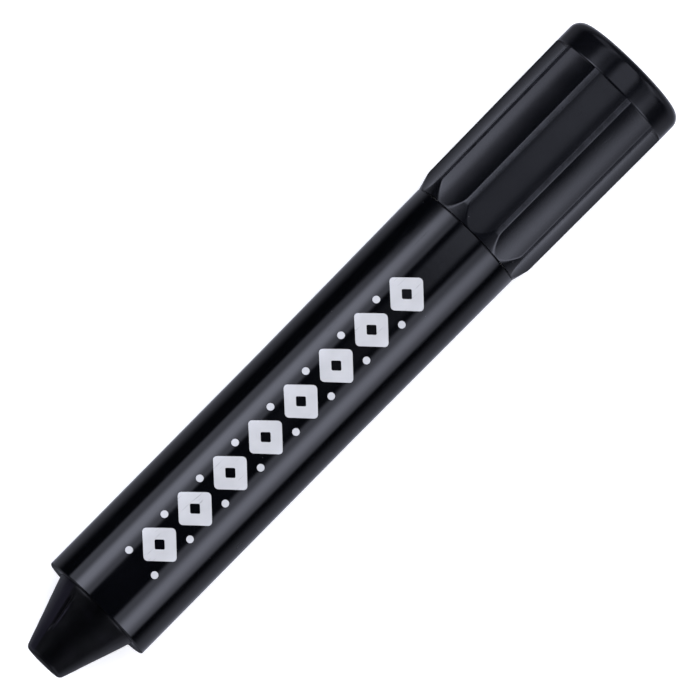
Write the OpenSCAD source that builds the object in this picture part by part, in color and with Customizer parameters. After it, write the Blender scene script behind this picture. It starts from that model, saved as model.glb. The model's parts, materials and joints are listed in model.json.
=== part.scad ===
// Twist-up wax crayon in a plastic holder.
// It lies along X. The origin is the centre of the barrel's mouth, +X points out
// of the mouth and +Z points up, with a flute of the knob on top and underneath.
// Each piece is drawn upright, mouth upwards along +Z, and lay() puts it along X.

/* [Wax stick] */
// Diameter of the wax stick
wax_d = 10.7; // [9:0.1:14]
// Length of the cone that stands out of the mouth at rest
cone_len = 8.3; // [6:0.1:11]
// Diameter of the cone's flat tip
tip_d = 5.0; // [4:0.1:6.5]
// Rounding around the flat tip
tip_round = 0.45; // [0.2:0.05:0.8]

/* [Barrel] */
// Length of the barrel that shows
barrel_len = 57.6; // [50:0.1:72]
// Wall of the outer barrel along its parallel part
barrel_wall = 0.8; // [0.7:0.05:1.4]
// Length of the parallel part, from the mouth
straight_len = 33; // [20:0.5:40]
// Growth of the barrel's radius from the parallel part to the knob
barrel_flare = 0.15; // [0.05:0.01:0.4]
// Thickness of the lip that closes the barrel down to the wax
lip_t = 1.2; // [0.8:0.1:2]
// Rounding of the mouth's outer edge
mouth_round = 0.2; // [0.15:0.05:0.6]
// Chamfer of the barrel's rear edge
rear_chamfer = 0.12; // [0.05:0.01:0.3]

/* [Guide sleeve] */
// Wall of the slotted sleeve inside the barrel
sleeve_wall = 0.77; // [0.65:0.01:1.2]
// Number of slots that keep the carrier from turning
slots = 3; // [2:1:4]
// Height of the snap bead that holds the knob on
bead_h = 0.25; // [0.1:0.01:0.3]
// Width of the snap bead along the barrel
bead_w = 0.9; // [0.6:0.05:1.4]

/* [Knob] */
// Length of the fluted knob, from the barrel to the end plug
knob_len = 22.3; // [18:0.1:30]
// Number of flutes
flutes = 10; // [9:1:12]
// Depth of a flute below the ridges
flute_depth = 0.55; // [0.45:0.01:0.6]
// Width of the land on top of each ridge
ridge_land = 0.54; // [0.2:0.01:0.8]
// Rise of the ridges over the barrel where the shoulder ends
ridge_rise = 0.52; // [0.45:0.01:0.7]
// Growth of the ridges' radius from the shoulder to the end plug
knob_flare = 0.18; // [0.05:0.01:0.3]
// Length of the conical shoulder
shoulder_len = 2.0; // [1:0.1:4]
// Step down from the barrel to the knob's front edge
seam_step = 0.02; // [0:0.01:0.06]
// Thickness of the web that drives the spindle
web_t = 2.0; // [1.2:0.1:3]
// Depth of the open space behind the web
rear_room = 3.5; // [3.2:0.1:5]

/* [End plug] */
// Length of the plug's band
plug_len = 3.5; // [2.6:0.1:6]
// Rounding of the plug's end edge
plug_round = 1.4; // [0.6:0.1:2]
// Height of the domed end
plug_dome = 0.3; // [0.1:0.05:0.6]
// Chamfer of the band's front edge
plug_chamfer = 0.18; // [0.05:0.01:0.3]
// Length of the spigot inside the knob
spigot_len = 2.2; // [1.5:0.1:2.6]
// Wall of the plug
plug_wall = 1.2; // [0.8:0.1:1.5]

/* [Screw] */
// Largest diameter of the screw
screw_d = 4.6; // [4:0.1:5.6]
// Depth of its thread
thread_depth = 0.6; // [0.4:0.05:0.8]
// Advance of the carrier in one turn
lead = 6; // [5:0.5:10]
// Clearance between the screw and the carrier's thread
thread_clear = 0.2; // [0.15:0.01:0.3]
// Across flats of the spindle's hexagon drive
drive_af = 5.0; // [4:0.1:6]
// Thickness of the spindle's flange
flange_t = 2.5; // [2:0.1:4]
// Thickness of the drag ring's cord
ring_cord = 0.9; // [0.7:0.05:1.1]

/* [Carrier] */
// Length of the carrier's threaded part and its keys
nut_len = 6; // [4:0.5:8]
// Depth of the cup that holds the wax
cup_depth = 9; // [5:0.5:12]
// Wall of the cup
cup_wall = 0.8; // [0.6:0.05:1.2]
// Width of a key
key_w = 2.0; // [1.4:0.1:2.6]

/* [Travel] */
// Advance of the wax from the rest position
advance = 40; // [30:1:45]
// Depth of the tip inside the mouth when the wax is wound back
tip_inset = 0.7; // [0.3:0.1:1.5]

/* [Clearances] */
// Radial clearance of the wax and the carrier in the sleeve
slide_clear = 0.08; // [0.05:0.01:0.1]
// Radial clearance of the knob on the sleeve
knob_clear = 0.07; // [0.05:0.01:0.1]
// Clearance around the keys and the snap bead
key_clear = 0.12; // [0.1:0.01:0.2]
// Gap between the barrel and the knob
seam_gap = 0.1; // [0.05:0.01:0.2]
// Gap left at the ends of a travel
end_gap = 0.3; // [0.2:0.05:0.5]

/* [Hidden] */
$fn = 96;

// Radii, from the wax outwards
wax_r = wax_d / 2;
bore_r = wax_r + slide_clear;
sleeve_r = bore_r + sleeve_wall;
barrel_r = sleeve_r + barrel_wall;
rear_r = barrel_r + barrel_flare;
knob_bore_r = sleeve_r + knob_clear;
shoulder_r = rear_r - seam_step;
ridge_r = rear_r + ridge_rise;
plug_r = ridge_r + knob_flare;

// Places along the axis, all measured from the mouth
knob_front = -barrel_len - seam_gap;
shoulder_end = knob_front - shoulder_len;
plug_front = knob_front - knob_len;
plug_end = plug_front - plug_len;
web_rear = plug_front + rear_room;
web_front = web_rear + web_t;
sleeve_end = web_front + end_gap;
flange_front = web_front + flange_t;
bead_mid = (knob_front + sleeve_end) / 2;

// The carrier, placed so that winding back takes the tip inside the mouth
retract = cone_len + tip_inset;
carrier_rear = flange_front + end_gap + retract;
cup_floor = carrier_rear + nut_len;
cup_front = cup_floor + cup_depth;
cup_r = wax_r - cup_wall;
slot_end = cup_floor + advance + end_gap;

// The screw and the hollow that it needs in the wax
screw_major = screw_d / 2;
screw_minor = screw_major - thread_depth;
screw_tip = cup_floor + advance - 1;
core_r = screw_major + 2 * thread_clear;
core_end = screw_tip + retract + 5 * end_gap;
key_r = sleeve_r - key_clear;

// The drag ring sits in a groove in the spindle's flange
flange_r = bore_r - 0.1;
ring_squeeze = 0.05;
ring_r = bore_r - 0.03 - ring_cord / 2;
groove_r = ring_r - ring_cord / 2 + ring_squeeze;
groove_w = ring_cord + 0.1;
ring_mid = web_front + flange_t / 2;

// The flute's cutter passes through the floor and the edges of two ridges
flute_taper = atan(knob_flare / (knob_len - shoulder_len));
flute_floor = ridge_r - flute_depth;
flute_half_angle = 180 / flutes - asin(ridge_land / 2 / ridge_r);
flute_half_chord = ridge_r * sin(flute_half_angle);
flute_sag = ridge_r * cos(flute_half_angle) - flute_floor;
cutter_r = (pow(flute_half_chord, 2) + pow(flute_sag, 2)) / (2 * flute_sag);

// Points along an arc, for the profiles of turned shapes
function arc(centre, r, from, to, steps = 8) = [
    for (i = [0:steps])
        let (a = from + (to - from) * i / steps)
        centre + r * [cos(a), sin(a)]
];

// Puts an upright piece along X with its mouth end towards +X
module lay() {
    rotate([0, 90, 0]) children();
}

// A profile of radius and height points, turned about the axis
module turned(points) {
    rotate_extrude() polygon(points);
}

// Left-hand two-start screw between two heights, larger than nominal by extra
module screw(extra, low, high) {
    height = high - low;
    slices = ceil(12 * height / lead);
    translate([0, 0, low])
        rotate(-360 * low / lead)
            linear_extrude(height = height, twist = 360 * height / lead, slices = slices, $fn = 16)
                scale([screw_major + extra, screw_minor + extra])
                    circle(r = 1);
}

module barrel() {
    color([0.06, 0.06, 0.07]) lay() turned(concat(
        [[bore_r, 0]],
        arc([barrel_r - mouth_round, -mouth_round], mouth_round, 90, 0),
        [
            [barrel_r, -straight_len],
            [rear_r, rear_chamfer - barrel_len],
            [rear_r - rear_chamfer, -barrel_len],
            [sleeve_r, -barrel_len],
            [sleeve_r, -lip_t],
            [bore_r, -lip_t]
        ]
    ));
}

module guide_sleeve() {
    bead_r = sleeve_r + bead_h;
    slot_w = key_w + 2 * key_clear;
    color([0.82, 0.82, 0.78]) lay() difference() {
        turned([
            [bore_r, -lip_t],
            [sleeve_r, -lip_t],
            [sleeve_r, bead_mid + bead_w / 2],
            [bead_r, bead_mid + bead_w / 2 - bead_h],
            [bead_r, bead_mid - bead_w / 2 + bead_h],
            [sleeve_r, bead_mid - bead_w / 2],
            [sleeve_r, sleeve_end],
            [bore_r, sleeve_end]
        ]);
        for (i = [0:slots - 1])
            rotate(i * 360 / slots)
                translate([0, -slot_w / 2, sleeve_end - 1])
                    cube([2 * sleeve_r, slot_w, slot_end - sleeve_end + 1]);
    }
}

module wax_stick() {
    cone_angle = atan((wax_d - tip_d) / 2 / cone_len);
    round_drop = tip_round * tan(45 - cone_angle / 2);
    color([0.04, 0.04, 0.045]) lay() difference() {
        turned(concat(
            [[0, cup_floor], [cup_r, cup_floor], [cup_r, cup_front], [wax_r, cup_front], [wax_r, 0]],
            arc([tip_d / 2 - round_drop, cone_len - tip_round], tip_round, cone_angle, 90),
            [[0, cone_len]]
        ));
        translate([0, 0, cup_floor - 1])
            cylinder(r = core_r, h = core_end - cup_floor + 1);
    }
}

module carrier() {
    color([0.85, 0.85, 0.8]) lay() difference() {
        union() {
            turned([
                [0, carrier_rear],
                [wax_r, carrier_rear],
                [wax_r, cup_front],
                [cup_r, cup_front],
                [cup_r, cup_floor],
                [0, cup_floor]
            ]);
            intersection() {
                translate([0, 0, carrier_rear])
                    cylinder(r = key_r, h = nut_len);
                for (i = [0:slots - 1])
                    rotate(i * 360 / slots)
                        translate([wax_r / 2, -key_w / 2, carrier_rear])
                            cube([sleeve_r, key_w, nut_len]);
            }
        }
        screw(thread_clear, carrier_rear - 1, cup_floor + 1);
    }
}

module spindle() {
    barb_r = drive_af / sqrt(3) + 0.2;
    barb_len = 1.1;
    color([0.9, 0.9, 0.86]) lay() {
        turned([
            [0, web_front],
            [flange_r, web_front],
            [flange_r, ring_mid - groove_w / 2],
            [groove_r, ring_mid - groove_w / 2],
            [groove_r, ring_mid + groove_w / 2],
            [flange_r, ring_mid + groove_w / 2],
            [flange_r, flange_front],
            [0, flange_front]
        ]);
        translate([0, 0, web_rear])
            cylinder(d = drive_af / cos(30), h = web_t + 0.5, $fn = 6);
        translate([0, 0, web_rear - barb_len])
            cylinder(r1 = barb_r - 0.6, r2 = barb_r, h = barb_len);
        screw(0, flange_front - 0.5, screw_tip);
    }
}

module drag_ring() {
    color([0.25, 0.1, 0.08]) lay()
        translate([0, 0, ring_mid])
            rotate_extrude()
                translate([ring_r, 0])
                    circle(d = ring_cord);
}

module knob() {
    groove_outer_r = sleeve_r + bead_h + key_clear;
    groove_half = bead_w / 2 + key_clear;
    color([0.1, 0.1, 0.11]) lay() difference() {
        turned([
            [knob_bore_r, knob_front],
            [shoulder_r, knob_front],
            [ridge_r, shoulder_end],
            [plug_r, plug_front],
            [knob_bore_r, plug_front],
            [knob_bore_r, web_rear],
            [0, web_rear],
            [0, web_front],
            [knob_bore_r, web_front],
            [knob_bore_r, bead_mid - groove_half],
            [groove_outer_r, bead_mid - groove_half],
            [groove_outer_r, bead_mid + groove_half],
            [knob_bore_r, bead_mid + groove_half]
        ]);
        for (i = [0:flutes - 1])
            rotate(i * 360 / flutes)
                translate([flute_floor, 0, shoulder_end])
                    rotate([0, -flute_taper, 0])
                        translate([cutter_r, 0, 0])
                            cylinder(r = cutter_r, h = 3 * knob_len, center = true);
        translate([0, 0, web_rear - 1])
            cylinder(d = drive_af / cos(30), h = web_t + 2, $fn = 6);
    }
}

module end_plug() {
    dome_r = (pow(plug_r - plug_round, 2) + pow(plug_dome, 2)) / (2 * plug_dome);
    dome_angle = asin((plug_r - plug_round) / dome_r);
    inner_r = knob_bore_r - plug_wall;
    color([0.1, 0.1, 0.11]) lay() turned(concat(
        [
            [inner_r, plug_front + spigot_len],
            [knob_bore_r, plug_front + spigot_len],
            [knob_bore_r, plug_front],
            [plug_r - plug_chamfer, plug_front],
            [plug_r, plug_front - plug_chamfer]
        ],
        arc([plug_r - plug_round, plug_end + plug_round], plug_round, 0, -90),
        arc([0, plug_end - plug_dome + dome_r], dome_r, dome_angle - 90, -90),
        [[0, plug_end + plug_wall], [inner_r, plug_end + plug_wall]]
    ));
}

barrel();
guide_sleeve();
wax_stick();
carrier();
spindle();
drag_ring();
knob();
end_plug();
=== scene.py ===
# Twist-up wax crayon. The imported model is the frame; the shells that show are modelled finer here.
# The barrel lies along X with its mouth at the origin, +X out of the mouth and +Z up.
import bmesh
import bpy
import json
from math import acos, asin, atan2, cos, exp, pi, radians, sin, sqrt
from mathutils import Matrix, Vector


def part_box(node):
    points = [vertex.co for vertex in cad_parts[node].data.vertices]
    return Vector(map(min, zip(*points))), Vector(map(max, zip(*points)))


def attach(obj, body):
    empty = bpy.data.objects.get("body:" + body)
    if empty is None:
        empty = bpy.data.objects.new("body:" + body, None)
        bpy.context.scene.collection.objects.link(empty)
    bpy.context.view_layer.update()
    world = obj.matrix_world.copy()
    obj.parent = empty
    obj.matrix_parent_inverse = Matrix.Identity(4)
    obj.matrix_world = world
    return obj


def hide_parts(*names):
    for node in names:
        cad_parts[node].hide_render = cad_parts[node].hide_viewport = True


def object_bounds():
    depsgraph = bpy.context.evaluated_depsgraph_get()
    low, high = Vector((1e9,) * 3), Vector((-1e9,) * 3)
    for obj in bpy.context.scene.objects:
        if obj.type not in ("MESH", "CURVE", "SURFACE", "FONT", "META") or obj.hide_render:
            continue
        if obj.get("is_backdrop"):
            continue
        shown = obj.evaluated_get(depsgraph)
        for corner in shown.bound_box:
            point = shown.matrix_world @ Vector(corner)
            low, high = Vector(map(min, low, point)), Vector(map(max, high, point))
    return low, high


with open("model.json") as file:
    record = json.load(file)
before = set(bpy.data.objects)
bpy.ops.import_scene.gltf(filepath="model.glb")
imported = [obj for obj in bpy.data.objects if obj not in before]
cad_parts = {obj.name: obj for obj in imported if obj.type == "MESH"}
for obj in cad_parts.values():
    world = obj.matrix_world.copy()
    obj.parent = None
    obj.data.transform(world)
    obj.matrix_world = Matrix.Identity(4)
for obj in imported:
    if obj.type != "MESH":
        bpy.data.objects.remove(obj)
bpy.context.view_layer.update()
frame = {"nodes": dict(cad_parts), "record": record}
mm = 0.001
hair = 0.001 * mm              # points nearer than this are the same point

barrelLow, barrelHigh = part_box("barrel")
waxLow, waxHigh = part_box("wax_stick")
knobLow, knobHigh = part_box("knob")
plugLow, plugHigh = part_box("end_plug")
mounts = {mount["name"]: mount for mount in frame["record"]["mounts"]}
noseRadius = mounts["barrel_nose"]["dims"]["r_mm"] * mm
noseLength = mounts["barrel_nose"]["dims"]["length_mm"] * mm
noseStart = mounts["barrel_nose"]["pos_m"][0]
print("frame loaded")


# camera

cameraSetup = {
    "tilt": 5.25,              # degrees, leaning towards the tip
    "roll": 45.37,             # degrees, turn of the crayon in the picture
    "aim": (-0.03976, -0.00013, 0),    # m
    "distance": 1.79,          # m
    "lens": 842,               # mm
    "sensor": 36,              # mm
    "clipEnd": 20,             # m
}


def addCamera():
    tilt = radians(cameraSetup["tilt"])
    roll = radians(cameraSetup["roll"])
    back = Vector((sin(tilt), 0, cos(tilt)))
    tipwards = Vector((cos(tilt), 0, -sin(tilt)))
    right = Vector((0, 1, 0)) * sin(roll) - tipwards * cos(roll)
    up = back.cross(right)
    bpy.ops.object.camera_add()
    camera = bpy.context.object
    camera.name = "stillCamera"
    camera.matrix_world = Matrix((right, up, back)).transposed().to_4x4()
    camera.location = Vector(cameraSetup["aim"]) + back * cameraSetup["distance"]
    camera.data.lens = cameraSetup["lens"]
    camera.data.sensor_width = cameraSetup["sensor"]
    camera.data.clip_end = cameraSetup["clipEnd"]
    bpy.context.scene.camera = camera


# small modelling helpers

def deselectAll():
    if bpy.context.mode != "OBJECT":
        bpy.ops.object.mode_set(mode="OBJECT")
    bpy.ops.object.select_all(action="DESELECT")


def pick(test, kind="VERT"):
    bpy.ops.mesh.select_mode(type=kind)
    bpy.ops.mesh.select_all(action="DESELECT")
    editMesh = bmesh.from_edit_mesh(bpy.context.edit_object.data)
    for part in {"VERT": editMesh.verts, "EDGE": editMesh.edges, "FACE": editMesh.faces}[kind]:
        part.select = test(part)
    editMesh.select_flush_mode()
    bmesh.update_edit_mesh(bpy.context.edit_object.data)


def pickAll():
    bpy.ops.mesh.select_mode(type="VERT")
    bpy.ops.mesh.select_all(action="SELECT")


def fromAxis(vert):
    return sqrt(vert.co.y ** 2 + vert.co.z ** 2)


def turnOf(vert):
    # radians round the axis, from straight up
    return atan2(vert.co.y, vert.co.z)


def drawOutline(name, points, rounds):
    # points are (along, radius) in order round a closed outline, drawn from one vertex
    # rounds are (along, radius, offset, steps) for the corners that are rounded
    deselectAll()
    bpy.ops.mesh.primitive_circle_add(vertices=3, radius=mm)
    bpy.context.object.name = name
    bpy.ops.object.mode_set(mode="EDIT")
    pickAll()
    bpy.ops.mesh.merge(type="CENTER")
    last = Vector((0, 0, 0))
    for number, (along, radius) in enumerate(points):
        place = Vector((along, 0, radius))
        if number == 0:
            bpy.ops.transform.translate(value=place)
        else:
            bpy.ops.mesh.extrude_vertices_move(TRANSFORM_OT_translate={"value": place - last})
        last = place
    pickAll()
    bpy.ops.mesh.edge_face_add()
    for along, radius, offset, segments in rounds:
        corner = Vector((along, 0, radius))
        pick(lambda vert: (vert.co - corner).length < hair)
        bpy.ops.mesh.bevel(offset=offset, segments=segments, affect="VERTICES")
    pickAll()
    bpy.ops.mesh.delete(type="ONLY_FACE")


def splitEdges(test, cuts):
    pick(test, "EDGE")
    bpy.ops.mesh.subdivide(number_cuts=cuts)


def turnOutline(steps):
    # the outline is spun once round the axis, and seam and poles are merged
    pick(lambda edge: max(vert.co.z for vert in edge.verts) < hair, "EDGE")
    bpy.ops.mesh.delete(type="EDGE_FACE")
    pickAll()
    bpy.ops.mesh.spin(steps=steps, angle=2 * pi, center=(0, 0, 0), axis=(1, 0, 0))
    pickAll()
    bpy.ops.mesh.remove_doubles(threshold=hair / 2)
    bpy.ops.mesh.normals_make_consistent(inside=False)


smoothUpTo = 30                # degrees between faces that are shaded as one surface


def finishPiece(material, body):
    deselectAll()
    piece = bpy.context.view_layer.objects.active
    piece.select_set(True)
    bpy.ops.object.transform_apply(location=True, rotation=True, scale=True)
    bpy.ops.object.shade_smooth_by_angle(angle=radians(smoothUpTo))
    piece.data.materials.clear()
    piece.data.materials.append(material)
    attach(piece, body)
    return piece


# shader node helpers

def feed(tree, node, inputs):
    # another node's output is linked, and anything else is set on the socket
    for key, value in inputs.items():
        if isinstance(value, bpy.types.NodeSocket):
            tree.links.new(value, node.inputs[key])
        else:
            node.inputs[key].default_value = value


def addNode(tree, kind, inputs=None, **settings):
    node = tree.nodes.new(kind)
    for key, value in settings.items():
        setattr(node, key, value)
    feed(tree, node, inputs or {})
    return node


def calc(tree, operation, first, second=0, third=0):
    return addNode(tree, "ShaderNodeMath", {0: first, 1: second, 2: third}, operation=operation).outputs[0]


def ramp(tree, value, low, high, lowResult=0, highResult=1, kind="LINEAR"):
    inputs = {0: value, 1: low, 2: high, 3: lowResult, 4: highResult}
    return addNode(tree, "ShaderNodeMapRange", inputs, interpolation_type=kind).outputs[0]


def softRamp(tree, value, low, high, lowResult=0, highResult=1):
    return ramp(tree, value, low, high, lowResult, highResult, "SMOOTHSTEP")


def noiseOf(tree, place, scale, detail=2):
    inputs = {"Vector": place, "Scale": scale, "Detail": detail}
    return addNode(tree, "ShaderNodeTexNoise", inputs).outputs[0]


def newGroup(name, inputs, outputs):
    group = bpy.data.node_groups.new(name, "ShaderNodeTree")
    for label, value in inputs.items():
        socket = group.interface.new_socket(label, in_out="INPUT", socket_type="NodeSocketFloat")
        socket.default_value = value
    for label in outputs:
        group.interface.new_socket(label, in_out="OUTPUT", socket_type="NodeSocketFloat")
    return group, group.nodes.new("NodeGroupInput").outputs, group.nodes.new("NodeGroupOutput")


def useGroup(tree, group, inputs=None):
    return addNode(tree, "ShaderNodeGroup", inputs, node_tree=group).outputs


# shared effects; sizes and spacings on their sockets are millimetres

def makeAxisPlace():
    # millimetres along the axis, turns round it and millimetres from it
    group, _, out = newGroup("axisPlace", {}, ["Along", "Turn", "Radius"])
    coords = addNode(group, "ShaderNodeTexCoord")
    x, y, z = addNode(group, "ShaderNodeSeparateXYZ", {0: coords.outputs["Object"]}).outputs
    across = addNode(group, "ShaderNodeCombineXYZ", {1: y, 2: z}).outputs[0]
    length = addNode(group, "ShaderNodeVectorMath", {0: across}, operation="LENGTH").outputs["Value"]
    feed(group, out, {
        "Along": calc(group, "MULTIPLY", x, 1 / mm),
        "Turn": calc(group, "DIVIDE", calc(group, "ARCTAN2", y, z), 2 * pi),
        "Radius": calc(group, "MULTIPLY", length, 1 / mm),
    })
    return group


hairlineForm = {
    "girth": 44,               # mm round the crayon
    "slant": 0.6,
    "lineBand": (0.66, 0.74),  # the part of the noise that makes a line
    "patchScale": 0.35,
    "patchSeed": 3.7,
    "patchBand": (0.72, 0.75),
}


def makeHairlines(axisPlace):
    # fine handling scratches that run mostly along the barrel, broken up in patches
    form = hairlineForm
    group, given, out = newGroup("hairlines", {"Spacing": 0.25, "Length": 6, "Cover": 0.3}, ["Mask"])
    place = useGroup(group, axisPlace)
    aroundScale = calc(group, "DIVIDE", form["girth"], given["Spacing"])
    around = calc(group, "MULTIPLY", place["Turn"], aroundScale)
    along = calc(group, "DIVIDE", place["Along"], given["Length"])
    slanted = calc(group, "MULTIPLY_ADD", along, form["slant"], around)
    linePlace = addNode(group, "ShaderNodeCombineXYZ", {0: along, 1: slanted}).outputs[0]
    lines = ramp(group, noiseOf(group, linePlace, 1, 1), *form["lineBand"])
    patchInputs = {0: place["Along"], 1: place["Turn"], 2: form["patchSeed"]}
    patchPlace = addNode(group, "ShaderNodeCombineXYZ", patchInputs).outputs[0]
    patchLow, patchHigh = form["patchBand"]
    low = calc(group, "SUBTRACT", patchLow, given["Cover"])
    patches = ramp(group, noiseOf(group, patchPlace, form["patchScale"]), low, patchHigh)
    feed(group, out, {"Mask": calc(group, "MULTIPLY", lines, patches)})
    return group


def makeMouldGrain():
    # the fine even texture of a moulded or cast surface, and its slow unevenness
    group, given, out = newGroup("mouldGrain", {"Size": 0.12, "Wave": 6}, ["Grain", "Unevenness"])
    place = addNode(group, "ShaderNodeTexCoord").outputs["Object"]
    fineScale = calc(group, "DIVIDE", 1 / mm, given["Size"])
    slowScale = calc(group, "DIVIDE", 1 / mm, given["Wave"])
    feed(group, out, {
        "Grain": noiseOf(group, place, fineScale, 2),
        "Unevenness": noiseOf(group, place, slowScale, 1),
    })
    return group


speckRarity = 0.7              # share of the cells that hold no speck


def makeDustSpecks():
    # sparse specks of dust
    group, given, out = newGroup("dustSpecks", {"Spacing": 1.2, "Speck": 0.09}, ["Mask"])
    place = addNode(group, "ShaderNodeTexCoord").outputs["Object"]
    scale = calc(group, "DIVIDE", 1 / mm, given["Spacing"])
    cells = addNode(group, "ShaderNodeTexVoronoi", {"Vector": place, "Scale": scale}).outputs
    core = calc(group, "MULTIPLY", given["Speck"], 0.5)
    speck = ramp(group, cells["Distance"], given["Speck"], core)
    chance = addNode(group, "ShaderNodeSeparateColor", {0: cells["Color"]}).outputs[0]
    rare = calc(group, "GREATER_THAN", chance, speckRarity)
    feed(group, out, {"Mask": calc(group, "MULTIPLY", speck, rare)})
    return group


wearForm = {
    "scale": 900,
    "band": (0.35, 0.65),      # the part of the noise that breaks the wear up
    "least": 0.4,
}


def makeEdgeWear():
    # rubbed high edges: full where Depth is under 0, gone at Reach, broken up by a noise
    form = wearForm
    group, given, out = newGroup("edgeWear", {"Depth": 1, "Reach": 0.06, "Strength": 0.8}, ["Mask"])
    place = addNode(group, "ShaderNodeTexCoord").outputs["Object"]
    near = ramp(group, given["Depth"], given["Reach"], 0)
    broken = ramp(group, noiseOf(group, place, form["scale"], 3), *form["band"], form["least"], 1)
    worn = calc(group, "MULTIPLY", near, broken)
    feed(group, out, {"Mask": calc(group, "MULTIPLY", worn, given["Strength"])})
    return group


axisPlace = makeAxisPlace()
hairlines = makeHairlines(axisPlace)
mouldGrain = makeMouldGrain()
dustSpecks = makeDustSpecks()
edgeWear = makeEdgeWear()


# what the materials share

noiseBand = (0.3, 0.7)         # where nearly all of a noise lies


def newMaterial(name, constants):
    material = bpy.data.materials.new(name)
    material.use_nodes = True
    shader = material.node_tree.nodes["Principled BSDF"]
    feed(material.node_tree, shader, constants)
    return material, material.node_tree, shader


def mixColours(tree, factor, first, second):
    mix = addNode(tree, "ShaderNodeMix", data_type="RGBA")
    tree.links.new(factor, mix.inputs["Factor"])
    for socket, value in ((mix.inputs[6], first), (mix.inputs[7], second)):
        if isinstance(value, bpy.types.NodeSocket):
            tree.links.new(value, socket)
        else:
            socket.default_value = (*value, 1)
    return mix.outputs[2]


def bumpOf(tree, height, strength, distance):
    bump = addNode(tree, "ShaderNodeBump", {"Strength": strength, "Distance": distance, "Height": height})
    return bump.outputs[0]


# barrel

barrelSize = {
    "lip": 1.2 * mm,           # thickness of the lip round the wax
    "lipBore": 5.43 * mm,
    "bore": 6.2 * mm,
    "mouthRound": 0.2 * mm,
    "boreRound": 0.08 * mm,
    "rearChamfer": 0.08 * mm,
    "support": 0.06 * mm,      # distance of the support rings from the rounds
    "rings": 11,               # cuts along the long stretches
    "steps": 360,
}


def blackBarrelGloss():
    look = {
        "colour": (0.0010, 0.0012, 0.0018),
        "smudge": (0.0018, 0.0020, 0.0028),
        "dust": (0.05, 0.05, 0.055),
        "roughness": (0.085, 0.125),
        "scratchRoughness": 0.22,
        "scratchDepth": -0.6,
    }
    material, tree, shader = newMaterial("blackBarrelGloss", {"IOR": 1.5})
    grain = useGroup(tree, mouldGrain, {"Size": 0.9, "Wave": 5})
    lines = useGroup(tree, hairlines, {"Spacing": 0.3, "Length": 7, "Cover": 0.22})
    specks = useGroup(tree, dustSpecks, {"Spacing": 1.7, "Speck": 0.035})
    body = mixColours(tree, grain["Unevenness"], look["colour"], look["smudge"])
    haze = ramp(tree, grain["Unevenness"], *noiseBand, *look["roughness"])
    relief = calc(tree, "MULTIPLY_ADD", lines["Mask"], look["scratchDepth"], grain["Grain"])
    feed(tree, shader, {
        "Base Color": mixColours(tree, specks["Mask"], body, look["dust"]),
        "Roughness": calc(tree, "MULTIPLY_ADD", lines["Mask"], look["scratchRoughness"], haze),
        "Normal": bumpOf(tree, relief, 0.05, 0.02 * mm),
    })
    return material


def makeBarrel(material):
    size = barrelSize
    mouth = barrelHigh.x
    rear = barrelLow.x
    rearRadius = barrelHigh.z
    flareStart = noseStart - noseLength
    points = [
        (mouth, size["lipBore"]),
        (mouth, noseRadius),
        (mouth - size["mouthRound"] - size["support"], noseRadius),
        (flareStart, noseRadius),
        (rear + size["rearChamfer"] + size["support"], rearRadius),
        (rear, rearRadius),
        (rear, size["bore"]),
        (mouth - size["lip"], size["bore"]),
        (mouth - size["lip"], size["lipBore"]),
    ]
    rounds = [
        (mouth, size["lipBore"], size["boreRound"], 3),
        (mouth, noseRadius, size["mouthRound"], 8),
        (rear, rearRadius, size["rearChamfer"], 4),
    ]
    drawOutline("barrelShell", points, rounds)
    splitEdges(lambda edge: edge.calc_length() > 20 * mm, size["rings"])
    turnOutline(size["steps"])
    shell = finishPiece(material, "barrel")
    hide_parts("barrel")
    return shell


# foil print on the barrel

printSize = {
    "count": 8,
    "pitch": 5.49 * mm,
    "start": -9.4 * mm,        # middle of the first lozenge
    "length": 5.0 * mm,
    "width": 5.3 * mm,
    "hole": 1.5 * mm,
    "cornerRound": 0.45 * mm,
    "holeRound": 0.15 * mm,
    "roundSteps": 5,
    "dot": 0.42 * mm,          # radius
    "dotOff": 1.95 * mm,
    "dotSides": 24,
    "drawnOver": 1 * mm,       # where the flat print is drawn, over the barrel
    "slices": 15,              # cuts that let the flat print bend round the barrel
    "lift": 0.012 * mm,
    "thickness": 0.01 * mm,
}


def silverFoil():
    look = {
        "colour": (0.71, 0.715, 0.72),
        "dullToneAndPaintedSheen": (0.59, 0.595, 0.60),
        "rubbed": (0.30, 0.30, 0.31),
        "roughness": (0.34, 0.5),
    }
    material, tree, shader = newMaterial("silverFoil", {"IOR": 1.5, "Metallic": 0.25})
    grain = useGroup(tree, mouldGrain, {"Size": 0.16, "Wave": 1.8})
    lines = useGroup(tree, hairlines, {"Spacing": 0.22, "Length": 3, "Cover": 0.3})
    sheen = mixColours(tree, grain["Unevenness"], look["dullToneAndPaintedSheen"], look["colour"])
    feed(tree, shader, {
        "Base Color": mixColours(tree, lines["Mask"], sheen, look["rubbed"]),
        "Roughness": ramp(tree, grain["Grain"], *noiseBand, *look["roughness"]),
        "Normal": bumpOf(tree, grain["Grain"], 0.2, 0.01 * mm),
    })
    return material


def addDot(place):
    size = printSize
    bpy.ops.mesh.primitive_circle_add(vertices=size["dotSides"], radius=size["dot"], fill_type="NGON",
                                      location=place)


def addLozenge(place, length, width, corner):
    # a rounded lozenge as an open loop, lying flat
    bpy.ops.mesh.primitive_circle_add(vertices=4, radius=width / 2, fill_type="NGON", location=place)
    bpy.ops.transform.resize(value=(length / width, 1, 1))
    bpy.ops.mesh.bevel(offset=corner, segments=printSize["roundSteps"], affect="VERTICES")
    bpy.ops.mesh.delete(type="ONLY_FACE")


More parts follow.
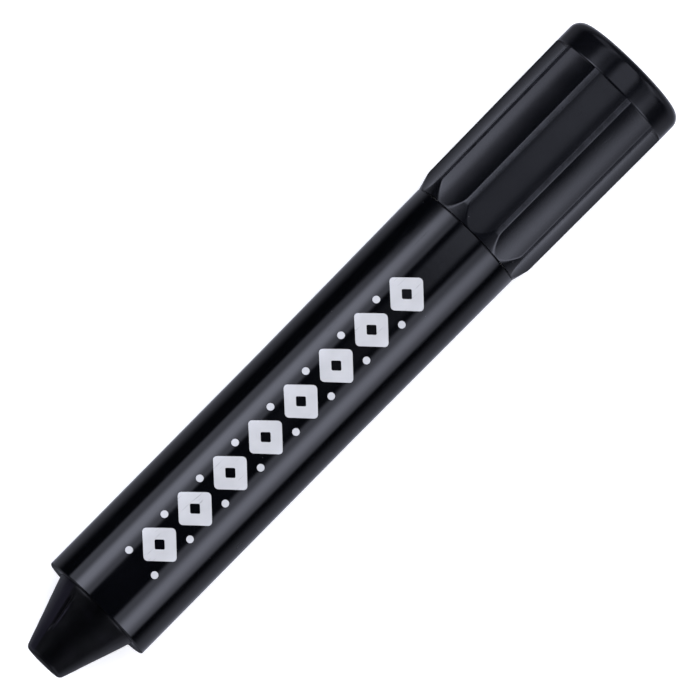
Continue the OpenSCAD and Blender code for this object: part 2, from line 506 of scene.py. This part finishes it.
def makePrint(material, shell):
    size = printSize
    middle = Vector((size["start"], 0, noseRadius + size["drawnOver"]))
    deselectAll()
    addDot(middle + Vector((size["pitch"] / 2, size["dotOff"], 0)))
    pattern = bpy.context.object
    pattern.name = "foilPattern"
    bpy.ops.object.transform_apply(location=True)
    bpy.ops.object.mode_set(mode="EDIT")
    addDot(middle + Vector((size["pitch"] / 2, -size["dotOff"], 0)))
    addLozenge(middle, size["length"], size["width"], size["cornerRound"])
    addLozenge(middle, size["hole"], size["hole"] * size["width"] / size["length"], size["holeRound"])
    pick(lambda edge: len(edge.link_faces) == 0, "EDGE")
    bpy.ops.mesh.bridge_edge_loops()
    for cut in range(size["slices"]):
        pickAll()
        across = size["width"] * ((cut + 1) / (size["slices"] + 1) - 0.5)
        bpy.ops.mesh.bisect(plane_co=(0, across, 0), plane_no=(0, 1, 0))
    pick(lambda face: face.normal.z < 0, "FACE")
    bpy.ops.mesh.flip_normals()
    bpy.ops.object.mode_set(mode="OBJECT")
    bpy.ops.object.modifier_add(type="ARRAY")
    row = pattern.modifiers[-1]
    row.count = size["count"]
    row.use_relative_offset = False
    row.use_constant_offset = True
    row.constant_offset_displace = (-size["pitch"], 0, 0)
    bpy.ops.object.modifier_apply(modifier=row.name)
    bpy.ops.object.modifier_add(type="SHRINKWRAP")
    wrap = pattern.modifiers[-1]
    wrap.target = shell
    wrap.wrap_method = "PROJECT"
    wrap.use_project_z = True
    wrap.use_positive_direction = False
    wrap.use_negative_direction = True
    wrap.offset = size["lift"]
    bpy.ops.object.modifier_apply(modifier=wrap.name)
    bpy.ops.object.modifier_add(type="SOLIDIFY")
    foil = pattern.modifiers[-1]
    foil.thickness = size["thickness"]
    foil.offset = 1
    bpy.ops.object.modifier_apply(modifier=foil.name)
    return finishPiece(material, "barrel")


# knob

knobSize = {
    "flutes": 10,
    "depth": 0.55 * mm,        # flute below the ridges
    "land": 0.54 * mm,         # width on top of a ridge
    "shoulder": 2.0 * mm,      # length of the conical shoulder
    "shoulderRadius": 7.13 * mm,
    "rise": 0.18 * mm,         # growth of the ridges towards the end plug
    "bore": 6.27 * mm,
    "snapRadius": 6.57 * mm,
    "snapHalf": 0.57 * mm,
    "snapPlace": -65.95 * mm,
    "webFront": -74.5 * mm,
    "webRear": -76.5 * mm,
    "hexAcross": 5.0 * mm,
    "crestRound": 0.3 * mm,
    "softness": 0.05 * mm,     # blend of flute and ridge
    "softTurn": 0.15,          # radians on both sides of a ridge's edge that are blended
    "shoulderRings": 17,
    "ridgeRings": 24,
    "stepsInHalf": 18,         # steps in half a flute's share of the turn
    "stepsInFlute": 12,        # how many of them lie in the flute
    "roughness": 0.19,
}
knobSkin = knobSize["snapRadius"] + 0.1 * mm       # whatever is farther out is the knob's outside
ridgeStart = knobHigh.x - knobSize["shoulder"]
ridgeRadius = knobHigh.y - knobSize["rise"]
ridgeTaper = knobSize["rise"] / (ridgeStart - knobLow.x)


def satinBlack(name, roughness, ridgeRadius, ridgeTaper):
    look = {
        "colour": (0.0034, 0.0037, 0.0050),
        "worn": (0.024, 0.025, 0.030),
        "dust": (0.07, 0.07, 0.075),
        "smoothest": -0.02,    # how far the roughness goes below and above the given one
        "roughest": 0.03,
        "scratchRoughness": 0.12,
    }
    material, tree, shader = newMaterial(name, {"IOR": 1.5})
    grain = useGroup(tree, mouldGrain, {"Size": 0.1, "Wave": 4})
    lines = useGroup(tree, hairlines, {"Spacing": 0.3, "Length": 4, "Cover": 0.25})
    specks = useGroup(tree, dustSpecks, {"Spacing": 1.5, "Speck": 0.045})
    place = useGroup(tree, axisPlace)
    # depth below the ridges, whose radius grows towards the end plug
    back = calc(tree, "SUBTRACT", place["Along"], knobHigh.x / mm)
    ridge = calc(tree, "MULTIPLY_ADD", back, -ridgeTaper, ridgeRadius / mm)
    depth = calc(tree, "SUBTRACT", ridge, place["Radius"])
    wear = useGroup(tree, edgeWear, {"Depth": depth, "Reach": 0.07, "Strength": 0.9})
    worn = mixColours(tree, wear["Mask"], look["colour"], look["worn"])
    even = ramp(tree, grain["Unevenness"], *noiseBand,
                roughness + look["smoothest"], roughness + look["roughest"])
    feed(tree, shader, {
        "Base Color": mixColours(tree, specks["Mask"], worn, look["dust"]),
        "Roughness": calc(tree, "MULTIPLY_ADD", lines["Mask"], look["scratchRoughness"], even),
        "Normal": bumpOf(tree, grain["Grain"], 0.12, 0.02 * mm),
    })
    return material


def fluteRadius(angle, floor, cutter):
    # how far from the axis the flute's hollow arc lies, at an angle from its middle
    centre = floor + cutter
    return centre * cos(angle) - sqrt(cutter ** 2 - (centre * sin(angle)) ** 2)


def softMin(first, second, softness):
    share = min(max(0.5 + 0.5 * (second - first) / softness, 0), 1)
    return second + (first - second) * share - softness * share * (1 - share)


def cutFlutes(knob):
    # each ring of the outside is respaced so that its steps crowd at the ridges, then sunk into the flutes
    size = knobSize
    half = size["stepsInHalf"]
    inFlute = size["stepsInFlute"]
    share = pi / size["flutes"]
    # the cutter's radius follows from the flute's depth and the width that the lands leave
    floorStart = ridgeRadius - size["depth"]
    halfAngle = share - asin(size["land"] / 2 / ridgeRadius)
    sag = ridgeRadius * cos(halfAngle) - floorStart
    cutter = ((ridgeRadius * sin(halfAngle)) ** 2 + sag ** 2) / (2 * sag)
    for vert in knob.data.vertices:
        along = vert.co.x
        radius = fromAxis(vert)
        if radius < knobSkin:
            continue
        angle = turnOf(vert)
        flute = round(angle / (2 * share))
        step = round((angle / share - 2 * flute) * half)
        floor = floorStart + (ridgeStart - along) * ridgeTaper
        centre = floor + cutter
        edge = acos((centre ** 2 + radius ** 2 - cutter ** 2) / (2 * centre * radius))
        if abs(step) <= inFlute:
            local = edge * sin(pi / 2 * abs(step) / inFlute)
        else:
            local = edge + (share - edge) * (abs(step) - inFlute) / (half - inFlute)
        if abs(edge - local) < size["softTurn"]:
            sunk = softMin(radius, fluteRadius(local, floor, cutter), size["softness"])
        elif local < edge:
            sunk = fluteRadius(local, floor, cutter)
        else:
            sunk = radius
        turned = 2 * share * flute + (local if step >= 0 else -local)
        vert.co = Vector((along, sunk * sin(turned), sunk * cos(turned)))


def shapeDriveHole(knob, hexCorner):
    # the round hole in the web becomes the hexagon of the spindle's drive
    for vert in knob.data.vertices:
        if abs(fromAxis(vert) - hexCorner) < 10 * hair:
            fromFlat = (turnOf(vert) + pi / 6) % (pi / 3) - pi / 6
            vert.co.y *= cos(pi / 6) / cos(fromFlat)
            vert.co.z *= cos(pi / 6) / cos(fromFlat)


def isOutside(edge):
    return min(vert.co.z for vert in edge.verts) > knobSkin


def isShoulder(edge):
    return isOutside(edge) and edge.verts[0].co.x > ridgeStart and 1.2 * mm < edge.calc_length() < 5 * mm


def makeKnob(material):
    size = knobSize
    front = knobHigh.x
    rear = knobLow.x
    hexCorner = size["hexAcross"] / sqrt(3)
    snapFront = size["snapPlace"] + size["snapHalf"]
    snapRear = size["snapPlace"] - size["snapHalf"]
    points = [
        (front, size["bore"]),
        (front, size["shoulderRadius"]),
        (ridgeStart, ridgeRadius),
        (rear, knobHigh.y),
        (rear, size["bore"]),
        (size["webRear"], size["bore"]),
        (size["webRear"], hexCorner),
        (size["webFront"], hexCorner),
        (size["webFront"], size["bore"]),
        (snapRear, size["bore"]),
        (snapRear, size["snapRadius"]),
        (snapFront, size["snapRadius"]),
        (snapFront, size["bore"]),
    ]
    drawOutline("flutedKnob", points, [(ridgeStart, ridgeRadius, size["crestRound"], 5)])
    splitEdges(lambda edge: isOutside(edge) and edge.calc_length() > 10 * mm, size["ridgeRings"])
    splitEdges(isShoulder, size["shoulderRings"])
    turnOutline(2 * size["flutes"] * size["stepsInHalf"])
    bpy.ops.object.mode_set(mode="OBJECT")
    cutFlutes(bpy.context.object)
    shapeDriveHole(bpy.context.object, hexCorner)
    knob = finishPiece(material, "knob")
    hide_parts("knob")
    return knob


# end plug

plugSize = {
    "band": 3.5 * mm,
    "chamfer": 0.1 * mm,
    "support": 0.06 * mm,
    "round": 1.4 * mm,
    "spigot": 2.2 * mm,
    "spigotRound": 0.2 * mm,
    "wall": 1.2 * mm,
    "domeRings": 8,
    "gate": 0.55 * mm,         # radius of the moulding's gate mark
    "gateDepth": 0.12 * mm,
    "gateRim": 1.25,           # the rim's and the dome's inner radius, in gate radii
    "domeFrom": 1.5,
    "steps": 256,
    "roughness": 0.13,
    "overPlug": 1 * mm,        # the wear starts this far outside, so the plug shows none
}


def makeEndPlug(material):
    size = plugSize
    front = plugHigh.x - size["spigot"]
    bandEnd = front - size["band"]
    outer = plugHigh.y
    spigotOuter = knobSize["bore"]
    spigotInner = spigotOuter - size["wall"]
    domeRadius = outer - size["round"]
    dome = bandEnd - plugLow.x
    points = [
        (plugHigh.x, spigotInner),
        (plugHigh.x, spigotOuter),
        (front, spigotOuter),
        (front, outer),
        (front - size["chamfer"] - size["support"], outer),
        (bandEnd, outer),
    ]
    for ring in range(size["domeRings"]):
        share = ring / size["domeRings"]
        radius = domeRadius + (size["gate"] * size["domeFrom"] - domeRadius) * share
        points.append((bandEnd - dome * (1 - (radius / domeRadius) ** 2), radius))
    gateFloor = plugLow.x + size["gateDepth"]
    points += [
        (plugLow.x + 5 * hair, size["gate"] * size["gateRim"]),
        (gateFloor, size["gate"]),
        (gateFloor, 0),
        (bandEnd + size["wall"], 0),
        (bandEnd + size["wall"], spigotInner),
    ]
    rounds = [
        (front, outer, size["chamfer"], 3),
        (bandEnd, outer, size["round"], 12),
        (plugHigh.x, spigotOuter, size["spigotRound"], 3),
    ]
    drawOutline("endPlug", points, rounds)
    turnOutline(size["steps"])
    plug = finishPiece(material, "knob")
    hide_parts("end_plug")
    return plug


# wax stick

waxSize = {
    "tipRadius": 2.5 * mm,
    "tipRound": 0.45 * mm,
    "shoulderRound": 0.25 * mm,
    "support": 0.5 * mm,
    "core": 2.7 * mm,          # radius of the hollow for the screw
    "coreEnd": -7.2 * mm,
    "cupRadius": 4.55 * mm,
    "cupFront": -47.7 * mm,
    "coneRings": 29,
    "faceRings": 7,
    "steps": 720,
    "unevenness": 0.06 * mm,
    "lumps": 2.2 * mm,         # size of the unevenness's swells
    "partingTurn": -36.5,      # degrees from the top
    "partingFrom": 0.6 * mm,   # from the mouth
    "partingTo": 5.6 * mm,
    "grooveDepth": 0.18 * mm,
    "grooveWidth": 0.17 * mm,
    "lipHeight": 0.07 * mm,    # raised beside the groove
    "lipTurn": 6.5,          # degrees from the groove to the lip
}


def castBlackWax():
    # the colour holds a painted sheen on one side and a painted highlight along the lip; turns are degrees
    # past the parting line, and lengths millimetres from the mouth
    look = {
        "colour": (0.0011, 0.0011, 0.0015),
        "bloom": (0.0026, 0.0024, 0.0036),
        "bloomBand": (0.45, 0.75),
        "paintedSheen": (0.0090, 0.0082, 0.0135),    # painted sheen: the side of the casting above the parting line is made lighter, as the left light would show it
        "sheenStart": (-3, -5.5),
        "sheenEnd": (-60, -25),
        # painted highlight: a lighter line along the lip beside the parting groove, as if the lip caught
        # the light
        "paintedLipHighlight": (0.0130, 0.0120, 0.0180),
        "highlightWidth": (2.2, 0.6),
        "highlightStart": (1.6, 2.6),
        "highlightEnd": (5.2, 4.2),
        "roughness": (0.30, 0.34),
        "fineRelief": 0.3,
    }
    material, tree, shader = newMaterial("castBlackWax", {"IOR": 1.45})
    grain = useGroup(tree, mouldGrain, {"Size": 0.5, "Wave": 2.6})
    fine = useGroup(tree, mouldGrain, {"Size": 0.14, "Wave": 1.1})
    place = useGroup(tree, axisPlace)
    bloom = ramp(tree, grain["Unevenness"], *look["bloomBand"])
    body = mixColours(tree, bloom, look["colour"], look["bloom"])
    turn = calc(tree, "MULTIPLY_ADD", place["Turn"], 360, -waxSize["partingTurn"])
    # painted sheen: the colour is lightened on the side above the parting line, standing in for the left
    # light
    dullToneAndPaintedSheen = calc(tree, "MULTIPLY", ramp(tree, turn, *look["sheenStart"]), ramp(tree, turn, *look["sheenEnd"]))
    withPaintedSheen = mixColours(tree, dullToneAndPaintedSheen, body, look["paintedSheen"])
    # painted highlight: a lighter band along the lip, faded in and out along the cone, standing in for
    # light caught by the lip
    fromLip = calc(tree, "ABSOLUTE", calc(tree, "SUBTRACT", turn, waxSize["lipTurn"]))
    ends = calc(tree, "MULTIPLY", ramp(tree, place["Along"], *look["highlightStart"]),
                ramp(tree, place["Along"], *look["highlightEnd"]))
    paintedLipHighlight = calc(tree, "MULTIPLY", ramp(tree, fromLip, *look["highlightWidth"]), ends)
    relief = calc(tree, "MULTIPLY_ADD", fine["Grain"], look["fineRelief"], grain["Grain"])
    feed(tree, shader, {
        "Base Color": mixColours(tree, paintedLipHighlight, withPaintedSheen, look["paintedLipHighlight"]),
        "Roughness": ramp(tree, fine["Unevenness"], *noiseBand, *look["roughness"]),
        "Normal": bumpOf(tree, relief, 0.12, 0.05 * mm),
    })
    return material


def cutPartingLines(wax):
    # a shallow groove with a raised lip on two sides of the cone, where the halves of the mould met
    size = waxSize
    for vert in wax.data.vertices:
        radius = fromAxis(vert)
        if radius < size["tipRadius"]:
            continue
        turn = turnOf(vert) - radians(size["partingTurn"])
        turn = (turn + pi / 2) % pi - pi / 2
        off = turn * radius / size["grooveWidth"]
        offLip = (turn - radians(size["lipTurn"])) * radius / size["grooveWidth"]
        inside = min(max((vert.co.x - size["partingFrom"]) / mm, 0), 1)
        inside *= min(max((size["partingTo"] - vert.co.x) / mm, 0), 1)
        lift = size["lipHeight"] * exp(-offLip ** 2) - size["grooveDepth"] * exp(-off ** 2)
        vert.co.y *= 1 + inside * lift / radius
        vert.co.z *= 1 + inside * lift / radius


def isCone(edge):
    return edge.verts[0].co.x > 0 and edge.calc_length() > 6 * mm


def isTipFace(edge):
    return edge.verts[0].co.x > 8 * mm and 1.8 * mm < edge.calc_length() < 2.6 * mm


def makeWax(material):
    size = waxSize
    tip = waxHigh.x
    outer = waxHigh.z
    points = [
        (tip, 0),
        (tip, size["tipRadius"]),
        (0, outer),
        (-size["support"], outer),
        (size["cupFront"], outer),
        (size["cupFront"], size["cupRadius"]),
        (waxLow.x, size["cupRadius"]),
        (waxLow.x, size["core"]),
        (size["coreEnd"], size["core"]),
        (size["coreEnd"], 0),
    ]
    rounds = [
        (tip, size["tipRadius"], size["tipRound"], 6),
        (0, outer, size["shoulderRound"], 4),
    ]
    drawOutline("waxCrayon", points, rounds)
    splitEdges(isCone, size["coneRings"])
    splitEdges(isTipFace, size["faceRings"])
    turnOutline(size["steps"])
    bpy.ops.object.mode_set(mode="OBJECT")
    wax = bpy.context.object
    clouds = bpy.data.textures.new("waxUneven", "CLOUDS")
    clouds.noise_scale = size["lumps"]
    bpy.ops.object.modifier_add(type="DISPLACE")
    uneven = wax.modifiers[-1]
    uneven.texture = clouds
    uneven.texture_coords = "LOCAL"
    uneven.mid_level = 1
    uneven.strength = size["unevenness"]
    bpy.ops.object.modifier_apply(modifier=uneven.name)
    cutPartingLines(wax)
    wax = finishPiece(material, "crayon")
    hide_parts("wax_stick")
    return wax


# inner pieces, which keep their own meshes

innerFinishes = {
    "blackAcetal": {"colour": (0.004, 0.004, 0.005), "shade": (0.007, 0.007, 0.008),
                    "roughness": 0.42, "grain": 0.15, "nodes": ["guide_sleeve"]},
    "naturalAcetal": {"colour": (0.78, 0.78, 0.72), "shade": (0.7, 0.69, 0.62),
                      "roughness": 0.42, "grain": 0.15, "nodes": ["carrier", "spindle"]},
    "siliconeRubber": {"colour": (0.16, 0.05, 0.04), "shade": (0.11, 0.035, 0.03),
                       "roughness": 0.6, "grain": 0.08, "nodes": ["drag_ring"]},
}


def plainMoulding(name, look):
    material, tree, shader = newMaterial(name, {"IOR": 1.48})
    grain = useGroup(tree, mouldGrain, {"Size": look["grain"], "Wave": 3})
    lines = useGroup(tree, hairlines, {"Spacing": 0.3, "Length": 3, "Cover": 0.2})
    feed(tree, shader, {
        "Base Color": mixColours(tree, grain["Unevenness"], look["colour"], look["shade"]),
        "Roughness": calc(tree, "MULTIPLY_ADD", lines["Mask"], 0.15, look["roughness"]),
        "Normal": bumpOf(tree, grain["Grain"], 0.15, 0.02 * mm),
    })
    return material


def finishInnerPieces():
    for name, look in innerFinishes.items():
        moulding = plainMoulding(name, look)
        for node in look["nodes"]:
            frame["nodes"][node].data.materials.clear()
            frame["nodes"][node].data.materials.append(moulding)


# studio; angles are degrees from straight up, and pairs are where a light starts and is full

studio = {
    "radius": 0.5,             # m, light tent round the crayon
    "length": 2.0,
    "sides": 96,
    "tint": (0.91, 0.945, 1.145),
    "ends": 0.05,              # what shows through the tent's open ends
    "room": 0.97,              # what the camera sees behind the floor
}

# each box has a bright core; drawnIn and coreIn are how far their outer edges have moved up, in degrees,
# once draw is full towards the knob
sideBoxes = {
    "left": {"rise": (24, 30), "set": (84, 78), "level": 1.1, "drawnIn": 26,
             "coreRise": (33, 50), "coreSet": (68, 55), "core": 2.5, "coreIn": 3,
             "draw": (-0.075, -0.125), "dimmed": 0.155},
    "right": {"rise": (31, 39), "set": (90, 82), "level": 1.1, "drawnIn": 12,
              "coreRise": (44, 60), "coreSet": (84, 62), "core": 2.1, "coreIn": 7,
              "draw": (-0.098, -0.13), "dimmed": 0.195},
    "front": (0.15, 0.08),     # m, where both fade out in front of the tip
    "dim": (-0.083, -0.142),   # and where both dim towards the knob
}

knobPanel = {
    "rise": (-20, -8),
    "set": (28, 16),
    "front": (-0.090, -0.096),
    "level": 0.7,
}

# the table lights the crayon from both sides and, separately, from straight below
tableGlow = {
    "left": (105, 130),
    "leftLevel": 0.25,
    "right": (94, 120),
    "rightLevel": 0.32,
    "knobRise": (-0.098, -0.108),
    "knobGain": 0.45,
    "plugFall": (-0.126, -0.134),
    "plugLoss": -0.85,
    "below": (150, 163),
    "belowLevel": 0.42,
    "belowTip": 0.06,
    "belowFront": (0.02, -0.02),
}

# side panels far in front and behind, for the views along the crayon
farPanels = {
    "rise": (45, 68),
    "set": (115, 92),
    "place": (0.38, 0.48),     # m from the middle
    "frontLevel": 0.6,
    "rearLevel": 0.35,
}


def band(tree, angle, rise, fall):
    return calc(tree, "MULTIPLY", softRamp(tree, angle, *rise), softRamp(tree, angle, *fall))


def sideBox(tree, angle, along, box):
    draw = softRamp(tree, along, *box["draw"])
    outer = calc(tree, "MULTIPLY_ADD", draw, box["drawnIn"], angle)
    coreOuter = calc(tree, "MULTIPLY_ADD", draw, box["coreIn"], angle)
    wide = calc(tree, "MULTIPLY", softRamp(tree, angle, *box["rise"]), softRamp(tree, outer, *box["set"]))
    core = calc(tree, "MULTIPLY", softRamp(tree, angle, *box["coreRise"]),
                softRamp(tree, coreOuter, *box["coreSet"]))
    both = calc(tree, "MULTIPLY_ADD", core, box["core"], calc(tree, "MULTIPLY", wide, box["level"]))
    dimmed = softRamp(tree, along, *sideBoxes["dim"], 1, box["dimmed"])
    return calc(tree, "MULTIPLY", both, dimmed)


def panelLight(tree, right, along):
    panel = band(tree, right, knobPanel["rise"], knobPanel["set"])
    lit = calc(tree, "MULTIPLY", panel, softRamp(tree, along, *knobPanel["front"]))
    return calc(tree, "MULTIPLY", lit, knobPanel["level"])


def glowLight(tree, left, right, down, along):
    glow = tableGlow
    sides = calc(tree, "MULTIPLY", softRamp(tree, left, *glow["left"]), glow["leftLevel"])
    sides = calc(tree, "MULTIPLY_ADD", softRamp(tree, right, *glow["right"]), glow["rightLevel"], sides)
    sides = calc(tree, "MULTIPLY", sides, softRamp(tree, down, *glow["below"], 1, 0))
    grown = calc(tree, "MULTIPLY_ADD", softRamp(tree, along, *glow["knobRise"]), glow["knobGain"], 1)
    grown = calc(tree, "MULTIPLY_ADD", softRamp(tree, along, *glow["plugFall"]), glow["plugLoss"], grown)
    below = calc(tree, "MULTIPLY", softRamp(tree, down, *glow["below"]),
                 ramp(tree, along, *glow["belowFront"], glow["belowTip"], glow["belowLevel"]))
    return calc(tree, "MULTIPLY_ADD", sides, grown, below)


def farLight(tree, down, along):
    farFrom, farFull = farPanels["place"]
    ends = calc(tree, "MULTIPLY", softRamp(tree, along, farFrom, farFull), farPanels["frontLevel"])
    rear = softRamp(tree, along, -farFrom, -farFull)
    ends = calc(tree, "MULTIPLY_ADD", rear, farPanels["rearLevel"], ends)
    return calc(tree, "MULTIPLY", band(tree, down, farPanels["rise"], farPanels["set"]), ends)


def makeTent():
    # an open tent that glows where its lights are
    deselectAll()
    bpy.ops.mesh.primitive_cylinder_add(vertices=studio["sides"], radius=studio["radius"],
                                        depth=studio["length"], end_fill_type="NOTHING",
                                        rotation=(0, pi / 2, 0))
    tent = bpy.context.object
    tent.name = "lightTent"
    bpy.ops.object.transform_apply(rotation=True)
    material = bpy.data.materials.new("lightTent")
    material.use_nodes = True
    tree = material.node_tree
    tree.nodes.clear()
    coords = addNode(tree, "ShaderNodeTexCoord")
    along, y, z = addNode(tree, "ShaderNodeSeparateXYZ", {0: coords.outputs["Object"]}).outputs
    around = calc(tree, "ARCTAN2", y, z)
    right = calc(tree, "MULTIPLY", around, 180 / pi)
    left = calc(tree, "MULTIPLY", around, -180 / pi)
    down = calc(tree, "ABSOLUTE", right)
    boxes = calc(tree, "ADD", sideBox(tree, left, along, sideBoxes["left"]),
                 sideBox(tree, right, along, sideBoxes["right"]))
    strength = calc(tree, "MULTIPLY", boxes, softRamp(tree, along, *sideBoxes["front"]))
    for part in (panelLight(tree, right, along), glowLight(tree, left, right, down, along),
                 farLight(tree, down, along)):
        strength = calc(tree, "ADD", strength, part)
    light = addNode(tree, "ShaderNodeEmission", {"Color": (*studio["tint"], 1), "Strength": strength})
    addNode(tree, "ShaderNodeOutputMaterial", {"Surface": light.outputs[0]})
    tent.data.materials.append(material)
    tent.visible_camera = False
    tent.visible_shadow = False
    tent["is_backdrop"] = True


def makeRoom():
    world = bpy.data.worlds.new("studio")
    bpy.context.scene.world = world
    world.use_nodes = True
    tree = world.node_tree
    tree.nodes.clear()
    dim = addNode(tree, "ShaderNodeBackground", {"Color": (*studio["tint"], 1), "Strength": studio["ends"]})
    room = addNode(tree, "ShaderNodeBackground", {"Color": (1, 1, 1, 1), "Strength": studio["room"]})
    path = addNode(tree, "ShaderNodeLightPath")
    mix = addNode(tree, "ShaderNodeMixShader",
                  {0: path.outputs["Is Camera Ray"], 1: dim.outputs[0], 2: room.outputs[0]})
    addNode(tree, "ShaderNodeOutputWorld", {"Surface": mix.outputs[0]})
    bpy.context.scene.view_settings.view_transform = "Standard"


fillLamp = {
    "place": (-0.04, 0, 0.6),  # m
    "size": 0.7,               # m
    "energy": 4.8,             # W
    "colour": (0.98, 0.985, 1.02),
}


def addFillLamp():
    bpy.ops.object.light_add(type="AREA", location=fillLamp["place"])
    lamp = bpy.context.object
    lamp.name = "fillLamp"
    lamp.data.size = fillLamp["size"]
    lamp.data.energy = fillLamp["energy"]
    lamp.data.color = fillLamp["colour"]
    lamp.visible_glossy = False
    lamp.visible_camera = False


floorLook = {
    "width": 6,                # m
    "colour": (0.86, 0.86, 0.87),
    "lighter": (0.9, 0.9, 0.9),
    "glow": 0.55,
}


def addFloor():
    deselectAll()
    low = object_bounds()[0].z
    bpy.ops.mesh.primitive_plane_add(size=floorLook["width"], location=(0, 0, low))
    floor = bpy.context.object
    floor.name = "paleFloor"
    constants = {"Roughness": 0.9, "Specular IOR Level": 0.1, "Emission Strength": floorLook["glow"]}
    material, tree, shader = newMaterial("paleFloor", constants)
    grain = useGroup(tree, mouldGrain, {"Size": 1.5, "Wave": 60})
    pale = mixColours(tree, grain["Grain"], floorLook["colour"], floorLook["lighter"])
    feed(tree, shader, {"Base Color": pale, "Emission Color": pale})
    floor.data.materials.append(material)
    floor.visible_glossy = False
    floor.visible_diffuse = False
    floor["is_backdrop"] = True


# making everything

addCamera()
makeTent()
makeRoom()
addFillLamp()
print("camera and studio ready")

barrelShell = makeBarrel(blackBarrelGloss())
print("barrel turned")
makePrint(silverFoil(), barrelShell)
print("foil pattern laid on")
makeKnob(satinBlack("satinKnob", knobSize["roughness"], ridgeRadius, ridgeTaper))
print("knob fluted")
makeEndPlug(satinBlack("satinPlug", plugSize["roughness"], knobHigh.y + plugSize["overPlug"], 0))
print("end plug turned")
makeWax(castBlackWax())
print("wax stick cast")
finishInnerPieces()
print("inner pieces finished")
addFloor()
print("floor laid")
